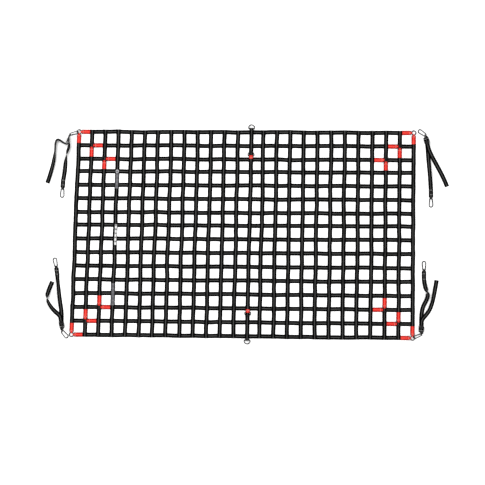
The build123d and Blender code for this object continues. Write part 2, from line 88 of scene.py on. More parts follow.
def bay_edges(bays, drift, short):
    """Fractions along a side where the crossing straps lie, from 0 to 1."""
    middle = (bays - 1) / 2
    widths = [short.get(i, 1.0) * (1 + drift * (i - middle) / middle) for i in range(bays)]
    edges = [0.0]
    for width in widths:
        edges.append(edges[-1] + width / sum(widths))
    return edges


COLUMN_EDGES = bay_edges(COLUMNS, COLUMN_DRIFT, SHORT_COLUMN_BAYS)
ROW_EDGES = bay_edges(ROWS, ROW_DRIFT, SHORT_ROW_BAYS)


def net_point(column, row):
    """Middle of the crossing of a column and a row, counted from the top left."""
    u = COLUMN_EDGES[column]
    v = ROW_EDGES[row]
    top = CORNERS["top_left"].lerp(CORNERS["top_right"], u)
    bottom = CORNERS["bottom_left"].lerp(CORNERS["bottom_right"], u)
    return top.lerp(bottom, v)


def corner_steps(name):
    """Corner crossing, and the way that its sizing rings step inward."""
    column = 0 if name.endswith("left") else COLUMNS
    row = 0 if name.startswith("top") else ROWS
    return column, row, (1 if column == 0 else -1), (1 if row == 0 else -1)


def ring_crossings():
    """Crossings that carry a ring, three at each corner, as (column, row)."""
    found = []
    for name in CORNERS:
        column, row, column_step, row_step = corner_steps(name)
        found += [(column + column_step * k, row + row_step * k) for k in range(3)]
    return found


RING_CROSSINGS = ring_crossings()
FIXED = [net_point(MIDDLE_COLUMN, row) for row in (0, TAB_ROW, ROWS - TAB_ROW, ROWS)]
FIXED += [net_point(*crossing) for crossing in RING_CROSSINGS]


def relaxed(point):
    """Where a point of the net really lies: the webbing wanders, except at rings and tabs."""
    nearest = min((point - fixed).length for fixed in FIXED)
    hold = smoothstep((nearest - 0.045) / 0.13)
    wander = noise.noise_vector(Vector((point.x * 5.5, point.y * 5.5, 0.7)))
    ripple = noise.noise_vector(Vector((point.x * 13.0, point.y * 13.0, 4.1)))
    return Vector((
        point.x + hold * (0.0048 * wander.x + 0.0016 * ripple.x),
        point.y + hold * (0.0048 * wander.y + 0.0016 * ripple.y),
        0,
    ))


def hook_frame(x, y, z, angle, roll=0.0):
    """Origin, along, across and normal of a hook or buckle, as the frame places it."""
    turn = radians(angle)
    lean = radians(roll)
    along = Vector((cos(turn), sin(turn), 0))
    across = Vector((-sin(turn), cos(turn), 0))
    up = along.cross(across)
    normal = up * cos(lean) - across * sin(lean)
    return Vector((x, y, z)), along, normal.cross(along), normal


# --- webbing: a flat woven band with rounded selvedges ---
# Across the band from -1 to 1, and through its thickness from -0.5 to 0.5.
BAND = [
    (-1.0, -0.1), (-0.99, 0.22), (-0.93, 0.40), (-0.80, 0.47), (-0.42, 0.5), (0.0, 0.5),
    (0.42, 0.5), (0.80, 0.47), (0.93, 0.40), (0.99, 0.22), (1.0, -0.1), (0.97, -0.40),
    (0.5, -0.5), (0.0, -0.5), (-0.5, -0.5), (-0.97, -0.40),
]
STITCH_PITCH = 0.0055
TACK_PITCH = 0.0011


class Draft:
    """Collects points, faces and webbing coordinates for one piece."""

    def __init__(self):
        self.points = []
        self.faces = []
        self.coords = []

    def band(self, stations, half=HALF, thick=THICK, start=0.0):
        """Adds a band through stations, closed at both ends, and returns where its run ends.

        Each station is a function of (across, through) to a point.
        """
        size = len(BAND)
        first = len(self.points)
        run = start
        before = None
        for place in stations:
            here = place(0.0, 0.0)
            if before is not None:
                run += (here - before).length
            before = here
            for across, through in BAND:
                self.points.append(place(across, through * thick))
                self.coords.append((across * half, run))
        for k in range(len(stations) - 1):
            a = first + k * size
            for i in range(size):
                j = (i + 1) % size
                self.faces.append((a + i, a + j, a + size + j, a + size + i))
        last = first + (len(stations) - 1) * size
        self.faces.append(tuple(first + i for i in reversed(range(size))))
        self.faces.append(tuple(last + i for i in range(size)))
        return run

    def stitch(self, middle, along, normal, length=0.0042, width=0.0009, height=0.0006):
        """Adds one stitch: a short raised bead of thread."""
        side = normal.cross(along)
        first = len(self.points)
        self.points.append(middle - along * length / 2)
        for share in (-0.3, 0.3):
            for across, rise in ((0.5, 0.0), (0.0, 1.0), (-0.5, 0.0), (0.0, -0.3)):
                offset = along * share * length + side * across * width + normal * rise * height
                self.points.append(middle + offset)
        self.points.append(middle + along * length / 2)
        self.coords.extend([(0.0, 0.0)] * 10)
        for i in range(4):
            j = (i + 1) % 4
            self.faces.append((first, first + 1 + j, first + 1 + i))
            self.faces.append((first + 1 + i, first + 1 + j, first + 5 + j, first + 5 + i))
            self.faces.append((first + 9, first + 5 + i, first + 5 + j))

    def seam(self, start, end, normal, **sizes):
        """Adds a straight row of stitches."""
        run = end - start
        count = max(1, round(run.length / STITCH_PITCH))
        along = run.normalized()
        for k in range(count):
            self.stitch(start + run * ((k + 0.5) / count), along, normal, **sizes)

    def box(self, corners, normal, **sizes):
        """Adds rows of stitches round four corners."""
        for k in range(4):
            self.seam(corners[k], corners[(k + 1) % 4], normal, **sizes)

    def bartack(self, middle, along, normal, width, rows=7):
        """Adds a dense zigzag across a band."""
        side = normal.cross(along)
        for k in range(rows):
            offset = along * (k - (rows - 1) / 2) * TACK_PITCH
            tilt = (side + along * (0.12 if k % 2 else -0.12)).normalized()
            for share in (-0.25, 0.25):
                self.stitch(middle + offset + side * share * width, tilt, normal,
                            length=width * 0.52, width=0.0010, height=0.0005)

    def finish(self, name, material, body, slot, replaces=()):
        """Makes the piece, with its webbing coordinates, and puts it on its body."""
        mesh = bpy.data.meshes.new(name)
        mesh.from_pydata([tuple(p) for p in self.points], [], self.faces)
        layer = mesh.uv_layers.new(name="webbing")
        for loop in mesh.loops:
            layer.data[loop.index].uv = self.coords[loop.vertex_index]
        mesh.polygons.foreach_set("use_smooth", [True] * len(mesh.polygons))
        mesh.materials.append(material)
        mesh.validate()
        mesh.update()
        piece = bpy.data.objects.new(name, mesh)
        scene.collection.objects.link(piece)
        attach(piece, body)
        if replaces:
            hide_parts(*replaces)
        return piece


def flat_station(middle, side, normal, half=HALF, pleat=0.0):
    """Station of a band, with soft pleats of a given height where it is gathered."""
    def place(across, through):
        fold = pleat * (1 + cos(across * 2.6 * pi)) / 2
        return middle + side * (across * half) + normal * (through + fold)

    return place


# --- materials ---
def new_material(name):
    """A node material, with its nodes, links and main shader."""
    material = bpy.data.materials.new(name)
    material.use_nodes = True
    nodes = material.node_tree.nodes
    return material, nodes, material.node_tree.links, nodes["Principled BSDF"]


def add_node(nodes, kind, **inputs):
    """Adds a node and sets its inputs by name, with _ for a space."""
    node = nodes.new(kind)
    for key, value in inputs.items():
        node.inputs[key.replace("_", " ")].default_value = value
    return node


def math_node(nodes, links, operation, first, second=None):
    """Adds a math node on sockets or numbers, and returns its output."""
    node = nodes.new("ShaderNodeMath")
    node.operation = operation
    for slot, value in enumerate((first, second)):
        if value is None:
            continue
        if isinstance(value, (int, float)):
            node.inputs[slot].default_value = value
        else:
            links.new(value, node.inputs[slot])
    return node.outputs[0]


def ramp_node(nodes, links, factor, stops):
    """Adds a colour ramp through stops of (position, colour), and returns its colour."""
    node = nodes.new("ShaderNodeValToRGB")
    ramp = node.color_ramp
    while len(ramp.elements) < len(stops):
        ramp.elements.new(0.5)
    for element, (position, color) in zip(ramp.elements, stops):
        element.position = position
        element.color = (*color, 1)
    links.new(factor, node.inputs["Fac"])
    return node.outputs["Color"]


def webbing_place(nodes, links):
    """Place across and along the band, in metres."""
    layer = nodes.new("ShaderNodeUVMap")
    layer.uv_map = "webbing"
    split = nodes.new("ShaderNodeSeparateXYZ")
    links.new(layer.outputs["UV"], split.inputs[0])
    return split.outputs[0], split.outputs[1]


def object_texture(nodes, links, kind, **inputs):
    """Adds a texture laid out in the object's own space."""
    texture = add_node(nodes, kind, **inputs)
    place = nodes.new("ShaderNodeTexCoord")
    links.new(place.outputs["Object"], texture.inputs["Vector"])
    return texture


def add_bump(nodes, links, shader, height, strength, distance=0.0002):
    """Bumps a shader's surface by a height socket."""
    bump = add_node(nodes, "ShaderNodeBump", Strength=strength, Distance=distance)
    links.new(height, bump.inputs["Height"])
    links.new(bump.outputs["Normal"], shader.inputs["Normal"])


def webbing_material(name, edge, body, sheen_stripe, wear, gloss):
    """Woven polyester: darker towards the edges, a lighter stripe along the middle that is a painted sheen,
    twill ribs.
    """
    material, nodes, links, shader = new_material(name)
    across, along = webbing_place(nodes, links)
    off_middle = math_node(nodes, links, "ABSOLUTE", across)
    patches = object_texture(nodes, links, "ShaderNodeTexNoise", Scale=11.0, Detail=3.0, Roughness=0.6)
    streaks = add_node(nodes, "ShaderNodeTexNoise", Scale=1.0, Detail=2.0)
    stretched = nodes.new("ShaderNodeCombineXYZ")
    links.new(math_node(nodes, links, "MULTIPLY", across, 900.0), stretched.inputs[0])
    links.new(math_node(nodes, links, "MULTIPLY", along, 45.0), stretched.inputs[1])
    links.new(stretched.outputs[0], streaks.inputs["Vector"])
    wander = math_node(nodes, links, "MULTIPLY", patches.outputs["Fac"], 0.0030)
    shifted = math_node(nodes, links, "ADD", off_middle, wander)
    share = math_node(nodes, links, "DIVIDE", shifted, HALF)
    # Colour across the band: the light middle is a painted sheen, and the band gets darker towards its
    # edges.
    bands = ramp_node(nodes, links, share, [
        (0.0, sheen_stripe), (0.26, sheen_stripe), (0.36, body), (0.84, body), (0.98, edge),
    ])
    fibre = ramp_node(nodes, links, streaks.outputs["Fac"], [(0.25, (0.72,) * 3), (0.75, (1.3,) * 3)])
    tint = nodes.new("ShaderNodeMix")
    tint.data_type = "RGBA"
    tint.blend_type = "MULTIPLY"
    tint.inputs["Factor"].default_value = 1.0
    links.new(bands, tint.inputs["A"])
    links.new(fibre, tint.inputs["B"])
    faded = nodes.new("ShaderNodeMix")
    faded.data_type = "RGBA"
    links.new(ramp_node(nodes, links, patches.outputs["Fac"], [(0.50, (0, 0, 0)), (0.78, (0.55,) * 3)]),
              faded.inputs["Factor"])
    links.new(tint.outputs["Result"], faded.inputs["A"])
    faded.inputs["B"].default_value = (*wear, 1)
    links.new(faded.outputs["Result"], shader.inputs["Base Color"])
    # Twill: ribs slant one way on one half of the band and the other way on the other half.
    slant = math_node(nodes, links, "ADD", off_middle, along)
    rib = math_node(nodes, links, "SINE", math_node(nodes, links, "MULTIPLY", slant, 2 * pi / 0.0022))
    warp = math_node(nodes, links, "SINE", math_node(nodes, links, "MULTIPLY", across, 2 * pi / 0.0016))
    weave = math_node(nodes, links, "ADD", math_node(nodes, links, "MULTIPLY", rib, 0.6), warp)
    add_bump(nodes, links, shader, weave, 0.55, 0.0005)
    rough = math_node(nodes, links, "MULTIPLY_ADD", streaks.outputs["Fac"], 0.22)
    rough.node.inputs[2].default_value = 0.50
    links.new(rough, shader.inputs["Roughness"])
    shader.inputs["Specular IOR Level"].default_value = gloss
    return material


def thread_material(name, color):
    """Twisted sewing thread."""
    material, nodes, links, shader = new_material(name)
    twist = object_texture(nodes, links, "ShaderNodeTexWave", Scale=900.0, Distortion=1.5)
    twist.bands_direction = "DIAGONAL"
    dark = tuple(0.55 * c for c in color)
    links.new(ramp_node(nodes, links, twist.outputs["Fac"], [(0.1, dark), (0.8, color)]),
              shader.inputs["Base Color"])
    add_bump(nodes, links, shader, twist.outputs["Fac"], 0.5)
    shader.inputs["Roughness"].default_value = 0.5
    shader.inputs["Specular IOR Level"].default_value = 0.4
    return material


def metal_material(name, low, high, rough, metallic):
    """Plated or coated wire: mottled colour and gloss, with fine draw marks and scuffs."""
    material, nodes, links, shader = new_material(name)
    mottle = object_texture(nodes, links, "ShaderNodeTexNoise", Scale=60.0, Detail=4.0, Roughness=0.65)
    scuff = object_texture(nodes, links, "ShaderNodeTexNoise", Scale=540.0, Detail=2.0, Roughness=0.7)
    links.new(ramp_node(nodes, links, mottle.outputs["Fac"], [(0.35, low), (0.68, high)]),
              shader.inputs["Base Color"])
    gloss = math_node(nodes, links, "MULTIPLY_ADD", scuff.outputs["Fac"], 0.30)
    gloss.node.inputs[2].default_value = rough - 0.15
    links.new(gloss, shader.inputs["Roughness"])
    add_bump(nodes, links, shader, scuff.outputs["Fac"], 0.25)
    shader.inputs["Metallic"].default_value = metallic
    return material


def label_material(name, ground, band):
    """Satin tape with fine cross ribs and plain darker bars, and no lettering."""
    material, nodes, links, shader = new_material(name)
    across, along = webbing_place(nodes, links)
    bars = math_node(nodes, links, "SINE", math_node(nodes, links, "MULTIPLY", along, 2 * pi / 0.031))
    inside = math_node(nodes, links, "LESS_THAN", math_node(nodes, links, "ABSOLUTE", across), 0.0075)
    shown = math_node(nodes, links, "MULTIPLY", inside, math_node(nodes, links, "GREATER_THAN", bars, 0.35))
    patches = object_texture(nodes, links, "ShaderNodeTexNoise", Scale=70.0, Detail=3.0)
    uneven = math_node(nodes, links, "MULTIPLY", shown, patches.outputs["Fac"])
    links.new(ramp_node(nodes, links, uneven, [(0.0, ground), (0.75, band)]), shader.inputs["Base Color"])
    ribs = math_node(nodes, links, "SINE", math_node(nodes, links, "MULTIPLY", along, 2 * pi / 0.0009))
    add_bump(nodes, links, shader, ribs, 0.3)
    shader.inputs["Roughness"].default_value = 0.42
    shader.inputs["Sheen Weight"].default_value = 0.2
    return material


# The stripe colours are a painted sheen along the middle of each band.
BLACK = webbing_material("woven_black", edge=(0.0006, 0.0006, 0.0007), body=(0.0012, 0.0012, 0.0014),
                         sheen_stripe=(0.095, 0.095, 0.093), wear=(0.008, 0.008, 0.008), gloss=0.02)
RED = webbing_material("woven_red", edge=(0.30, 0.006, 0.006), body=(0.58, 0.026, 0.022),
                       sheen_stripe=(0.84, 0.120, 0.090), wear=(0.82, 0.17, 0.14), gloss=0.12)
THREAD_BLACK = thread_material("thread_black", (0.045, 0.045, 0.048))
THREAD_RED = thread_material("thread_red", (0.85, 0.06, 0.045))
THREAD_PALE = thread_material("thread_pale", (0.92, 0.48, 0.44))
THREAD_GREY = thread_material("thread_grey", (0.42, 0.42, 0.42))
RING_METAL = metal_material("ring_black", (0.004, 0.004, 0.004), (0.016, 0.016, 0.017), 0.36, 0.4)
HOOK_METAL = metal_material("hook_zinc", (0.010, 0.010, 0.011), (0.062, 0.062, 0.064), 0.28, 1.0)
# A bright copy of the dark buckle metal: a painted glint, used on one buckle frame only.
GLINT_FRAME_METAL = metal_material("buckle_painted_glint", (0.24, 0.24, 0.245), (0.52, 0.52, 0.53), 0.30, 1.0)
BUCKLE_METAL = metal_material("buckle_dark_zinc", (0.014, 0.014, 0.015), (0.060, 0.060, 0.062), 0.40, 0.8)
LABEL_GREY = label_material("label_grey", (0.105, 0.105, 0.115), (0.19, 0.19, 0.20))
LABEL_WHITE = label_material("label_white", (0.62, 0.62, 0.61), (0.02, 0.02, 0.022))
BADGE = metal_material("badge_woven", (0.42, 0.42, 0.44), (0.62, 0.62, 0.64), 0.6, 0.0)


# --- the net's straps ---
ROW_OFFSETS = (0.0, 0.010, 0.0165, 0.024, 0.036)
COLUMN_OFFSETS = (0.0, 0.009, 0.0150, 0.0185, 0.0225, 0.0275, 0.034, 0.042)


def distances(crossings, start, end, offsets):
    """Places along a strap, closer together near each crossing."""
    places = {start, end}
    for crossing in crossings:
        for offset in offsets:
            for place in (crossing - offset, crossing + offset):
                if start < place < end:
                    places.add(round(place, 6))
    ordered = sorted(places)
    kept = [ordered[0]]
    for place in ordered[1:-1]:
        if place - kept[-1] > 0.0025 and end - place > 0.0025:
            kept.append(place)
    kept.append(ordered[-1])
    return kept


def drape(gap, seed):
    """Height of a crosswise strap's underside, from its distance to the nearest crossing."""
    slack = 0.00025 + 0.0005 * abs(noise.noise(Vector((seed, 3.3, 0.0))))
    return THICK + 0.00005 + (slack - THICK) * smoothstep((gap - 0.0155) / 0.021)


def strap_line(crossings, offsets, lifted, trim, seed):
    """Stations of one net strap, from its first crossing to its last."""
    start = net_point(*crossings[0])
    run = net_point(*crossings[-1]) - start
    along = run.normalized()
    marks = [(net_point(*c) - start).length for c in crossings]
    places = distances(marks, trim, run.length - trim, offsets)
    stations = []
    for place in places:
        gap = min(abs(place - mark) for mark in marks)
        bow = smoothstep((gap - 0.016) / 0.03) * 0.0016 * noise.noise(Vector((place * 19, seed * 7.7, 0)))
        middle = relaxed(start + along * place)
        before = relaxed(start + along * (place - 0.004))
        after = relaxed(start + along * (place + 0.004))
        way = (after - before).normalized()
        side = UP.cross(way)
        if lifted:
            bottom = drape(gap, place * 31 + seed)
        else:
            ripple = abs(noise.noise(Vector((place * 23, seed, 5))))
            bottom = smoothstep((gap - 0.02) / 0.03) * 0.0006 * ripple
        width = HALF * (1 + 0.018 * noise.noise(Vector((place * 27, seed * 3.1, 9))))
        center = middle + side * bow + UP * (bottom + THICK / 2 + 0.00002)
        stations.append(flat_station(center, side, UP, width))
    return stations


def net_straps():
    """The straps as six sheets: the four rims, and the straps between them each way."""
    sheets = {
        "top_rim_webbing": ("top_rim_strap", [0], True),
        "bottom_rim_webbing": ("bottom_rim_strap", [ROWS], True),
        "lengthwise_webbing": ("lengthwise_straps", list(range(1, ROWS)), True),
        "left_rim_webbing": ("left_rim_strap", [0], False),
        "right_rim_webbing": ("right_rim_strap", [COLUMNS], False),
        "crosswise_webbing": ("crosswise_straps", list(range(1, COLUMNS)), False),
    }
    for name, (node, numbers, is_row) in sheets.items():
        if is_row:
            offsets, seed, shift, last, crossed = ROW_OFFSETS, 0.5, 0.37, ROWS, COLUMNS
        else:
            offsets, seed, shift, last, crossed = COLUMN_OFFSETS, 40.5, 0.29, COLUMNS, ROWS
        draft = Draft()
        total = 0.0
        for number in numbers:
            trim = RIM_START if number in (0, last) else -HALF
            crossings = [(k, number) if is_row else (number, k) for k in range(crossed + 1)]
            line = strap_line(crossings, offsets, not is_row, trim, number + seed)
            total += draft.band(line, start=number * shift) - number * shift
        piece = draft.finish(name, BLACK, "net", "black_webbing", [node])
        ends = [net_point(0, n) if is_row else net_point(n, 0) for n in (numbers[0], numbers[-1])]


def crossing_seams():
    """Box stitching at every crossing without a ring, sewn through both straps."""
    draft = Draft()
    reach = 0.0105
    top = 2 * THICK + 0.0001
    for column in range(COLUMNS + 1):
        for row in range(ROWS + 1):
            if (column, row) in RING_CROSSINGS:
                continue
            middle = relaxed(net_point(column, row))
            ahead = relaxed(net_point(column, row) + Vector((0.004, 0, 0)))
            along = (ahead - middle).normalized()
            side = UP.cross(along)
            center = middle + UP * top
            draft.box([center + along * a * reach + side * b * reach
                       for a, b in ((-1, -1), (1, -1), (1, 1), (-1, 1))], UP)
    draft.finish("crossing_stitches", THREAD_BLACK, "net", "black_webbing")


# --- webbing arms that hold the rings ---
WRAP = RING_WIRE + 0.0001 + THICK / 2


def wrap_stations(bar, along, normal, across, radius, ring_radius, grip, half):
    """Stations round a wire, from under it, round its far side, to over it.

    The wire is straight along across, or bent to ring_radius about a center beyond it.
    """
    stations = []
    for k in range(15):
        swing = radians(-90 - 180 * k / 14)

        def place(t, through, swing=swing):
            out = radius + through
            if ring_radius:
                lean = t * grip
                radial = along * cos(lean) + across * sin(lean)
                center = bar - along * ring_radius
                return center + radial * (ring_radius + out * cos(swing)) + normal * out * sin(swing)
            return bar + along * out * cos(swing) + normal * out * sin(swing) + across * (t * half)

        stations.append(place)
    return stations


def layer_stations(xs, heights, width_at, origin, along, across, low_side):
    """Stations of one layer of an arm, from points (x, z) in the arm's side view."""
    stations = []
    count = len(xs)
    for k in range(count):
        a = max(0, k - 1)
        b = min(count - 1, k + 1)
        way = Vector((xs[b] - xs[a], heights[b] - heights[a])).normalized()
        normal = along * -way.y + UP * way.x
        if (normal.z < 0) != low_side:
            normal = -normal
        middle = origin + along * xs[k] + UP * heights[k]
        half = width_at(xs[k])
        pleat = 0.0 if low_side else 0.0016 * smoothstep((HALF - half) / 0.006)
        stations.append(flat_station(middle, across, normal, half, pleat))
    return stations


def arm(draft, threads, tacks, origin, end, ring_z, base, grip, ring_radius, neck):
    """One doubled webbing arm: out along its strap, round the wire and back on top of itself.

    origin is the ring's middle (or the tab's bar) in plan, and base is the height of the strap
    that the arm is sewn on, as a function of the distance from origin.
    """
    along = (end - origin).normalized()
    across = UP.cross(along)
    length = (end - origin).length - HALF - 0.0012
    flare = 0.031
    wire_x = ring_radius

    def width_at(x):
        share = smoothstep((x - wire_x - 0.004) / (flare - wire_x - 0.004))
        return neck + (HALF - 0.0004 - neck) * share

    def bottom(x):
        share = smoothstep((x - wire_x - 0.007) / 0.021)
        near = ring_z - THICK / 2
        return near + (base(x) + THICK / 2 - near) * share

    radius = WRAP if ring_radius else DEE_WRAP
    xs = [length - (length - flare) * k / 10 for k in range(11)]
    xs += [flare - (flare - wire_x - 0.009) * k / 6 for k in range(1, 7)]
    low = [bottom(x) for x in xs]
    high = [bottom(x) + THICK for x in xs]
    leave = [(wire_x + 0.006, 0.28), (wire_x + 0.003, 0.72)]
    for x, share in leave:
        xs.append(x)
        low.append(ring_z - THICK / 2 - (radius - THICK / 2) * share)
        high.append(ring_z + THICK / 2 + (radius - THICK / 2) * share)
    under = layer_stations(xs, low, width_at, origin, along, across, True)
    over = layer_stations(xs[::-1], high[::-1], width_at, origin, along, across, False)
    bar = origin + along * wire_x + UP * ring_z
    wrap = wrap_stations(bar, along, UP, across, radius, ring_radius, grip, neck)
    draft.band(under + wrap + over)
    top = THICK * 2 + 0.0001
    inset = HALF - 0.0045
    for side in (-1, 1):
        for k in range(12):
            x = flare + (length - flare - 0.006) * (k + 0.5) / 12
            middle = origin + along * x + across * (side * inset) + UP * (bottom(x) - THICK / 2 + top)
            threads.stitch(middle, along, UP)
    far = origin + along * (length - 0.006) + UP * (bottom(length - 0.006) - THICK / 2 + top)
    threads.seam(far - across * inset, far + across * inset, UP)
    near_x = wire_x + 0.0125
    near = origin + along * near_x + UP * (bottom(near_x) - THICK / 2 + top)
    tacks.bartack(near, along, UP, 1.7 * width_at(near_x))
    return length


DEE_WRAP = 0.003 + 0.00015 + THICK / 2


def row_top(_):
    """Top of a lengthwise strap, at any distance."""
    return THICK + 0.0002


def net_top(_):
    """Top of a crossing, at any distance."""
    return 2 * THICK + 0.0002


def column_top(marks, seed):
    """Top of a crosswise strap that an arm is sewn on, by distance from the ring's middle."""
    def height(x):
        gap = min(abs(x - mark) for mark in marks)
        return drape(gap, seed) + THICK + 0.0006

    return height


def markers():
    """Red arms round the rings: two at the corner ring and two at each sizing ring."""
    for name in CORNERS:
        column, row, column_step, row_step = corner_steps(name)
        draft, threads, tacks = Draft(), Draft(), Draft()
        for step in range(3):
            here = net_point(column, row)
            at_corner = step == 0
            ring_z = INNER_RING_Z
            if at_corner:
                ring_z = HOOKED_RING_Z if name in ("top_left", "bottom_right") else FREE_RING_Z
            grip = radians(24.0 if at_corner else 36.0)
            neck = RING_RADIUS * sin(grip) + 0.0022
            beside = net_point(column + column_step, row)
            beyond = net_point(column, row + row_step)
            arm(draft, threads, tacks, here, beside, ring_z, row_top, grip, RING_RADIUS, neck)
            marks = (0.0, (beyond - here).length)
            arm(draft, threads, tacks, here, beyond, ring_z, column_top(marks, step), grip,
                RING_RADIUS, neck)
            column += column_step
            row += row_step
        draft.finish(f"red_marker_webbing_{name}", RED, "net", "red_webbing", [f"red_markers_{name}"])
        threads.finish(f"red_marker_stitches_{name}", THREAD_RED, "net", "red_webbing")
        tacks.finish(f"red_marker_bartacks_{name}", THREAD_PALE, "net", "red_webbing")


def tabs():
    """Webbing tabs of the four D rings, black outside the rim and red inside the net.

    The red tabs' edge seams lie under their covers, so they are left out.
    """
    groups = {
        "black": (BLACK, THREAD_BLACK, 0),
        "red": (RED, THREAD_PALE, TAB_ROW),
    }
    for color, (cloth, thread, inset) in groups.items():
        draft, threads = Draft(), Draft()
        for row, outward in ((inset, 1), (ROWS - inset, -1)):
            crossing = net_point(MIDDLE_COLUMN, row)
            bar = crossing + Vector((0, outward * DEE_OFFSET, 0))
            inward = bar - Vector((0, outward * (DEE_OFFSET + WEB + 0.0012), 0))
            seams = Draft() if color == "red" else threads
            arm(draft, seams, threads, bar, inward, DEE_BAR_Z, net_top, 0.0, 0.0, HALF - 0.0008)
        name = f"{color}_ring_tab_webbing"
        draft.finish(name, cloth, "net", f"{color}_webbing", [f"{color}_ring_tabs"])
        threads.finish(f"{name}_stitches", thread, "net", f"{color}_webbing")
    tab_covers()


def hooded_station(middle, side, half, drop):
    """Station of a thin cover whose edges fall over the sides of what it covers."""
    def place(across, through):
        fall = drop * smoothstep((abs(across) - 0.88) / 0.11)
        return middle + side * (across * half) + UP * (through - fall)

    return place


def tab_covers():
    """Black webbing sewn over the tails of the red tabs, on top of the crossings."""
    draft, threads = Draft(), Draft()
    thick = 0.0005
    height = 4 * THICK + 0.00025 + thick / 2
    drop = 0.0034
    low_x, high_x, side_y, rise = -0.0045, 0.0130, 0.0115, 0.0003
    for row, inward in ((TAB_ROW, 1), (ROWS - TAB_ROW, -1)):
        middle = relaxed(net_point(MIDDLE_COLUMN, row))
        along = (net_point(MIDDLE_COLUMN, row + 1) - net_point(MIDDLE_COLUMN, row)).normalized() * inward
        across = UP.cross(along)
        stations = []
        for k in range(21):
            x = -0.0080 + (HALF + 0.0120) * k / 20
            fall = drop * smoothstep((x - HALF - 0.0004) / 0.0030)
            point = middle + along * x + UP * (height - fall)
            stations.append(hooded_station(point, across, HALF + 0.0022, drop - fall))
        draft.band(stations, thick=thick)
        top = UP * (height + thick / 2 - 0.0001)
        corners = [middle + along * x + across * y + top
                   for x, y in ((low_x, -side_y), (high_x, -side_y), (high_x, side_y), (low_x, side_y))]
        threads.box(corners, UP, height=rise)
        threads.seam(corners[0], corners[2], UP, height=rise)
        threads.seam(corners[1], corners[3], UP, height=rise)
    draft.finish("ring_tab_covers", BLACK, "net", "black_webbing")
    threads.finish("ring_tab_cover_stitches", THREAD_BLACK, "net", "black_webbing")


# --- labels ---
def labels():
    """Three plain labels sewn along one crosswise strap.

    Each has a share of the strap's length, half width, length, material, slot and shift.
    """
    sizes = {
        "size_label": (0.235, 0.0115, 0.136, LABEL_GREY, "grey_label", 0.0),
        "care_label": (0.505, 0.0085, 0.160, LABEL_WHITE, "white_label", 0.0045),
        "maker_label": (0.800, 0.0115, 0.170, LABEL_GREY, "grey_label", 0.0),
    }
    top = net_point(LABEL_COLUMN, 0)
    bottom = net_point(LABEL_COLUMN, ROWS)
    along = (bottom - top).normalized()
    marks = [(net_point(LABEL_COLUMN, row) - top).length for row in range(ROWS + 1)]
    for name, (share, half, length, material, slot_name, aside) in sizes.items():
        draft, threads = Draft(), Draft()
        middle = (bottom - top).length * share
        stations = []
        count = 40
        for k in range(count + 1):
            place = middle + length * (k / count - 0.5)
            gap = min(abs(place - mark) for mark in marks)
            center = relaxed(top + along * place)
            ahead = relaxed(top + along * (place + 0.004))
            way = (ahead - center).normalized()
            side = UP.cross(way)
            height = drape(gap, place * 31 + LABEL_COLUMN + 40.5) + THICK + 0.0008
            point = center + side * aside + UP * height
            stations.append(flat_station(point, side, UP, half))
            if k % 2 == 0:
                for edge in (-0.82, 0.82):
                    threads.stitch(point + side * edge * half + UP * 0.0003, way, UP)
        draft.band(stations, half=half, thick=0.0006)
        draft.finish(f"{name}_tape", material, "net", slot_name, [name])
        threads.finish(f"{name}_stitches", THREAD_BLACK, "net", slot_name)
    badge(relaxed(net_point(LABEL_COLUMN, 3)) + UP * (2 * THICK + 0.0002))


def badge(center):
    """Round plain badge sewn on at the top of the upper label: a raised hoop on a disc."""
    draft = Draft()
    rings = [(0.0, 0.0006), (0.0040, 0.0006), (0.0088, 0.0006), (0.0096, 0.0013), (0.0110, 0.0016),
             (0.0124, 0.0013), (0.0130, 0.0004), (0.0130, 0.0)]
    around = 40
    for radius, height in rings:
        for k in range(around):
            turn = 2 * pi * k / around
            point = center + Vector((radius * cos(turn), radius * sin(turn), height))
            draft.points.append(point)
            draft.coords.append((radius, turn * 0.01))
    for ring in range(len(rings) - 1):
        for k in range(around):
            a = ring * around
            j = (k + 1) % around
            draft.faces.append((a + k, a + around + k, a + around + j, a + j))
    draft.finish("label_badge", BADGE, "net", "grey_label")


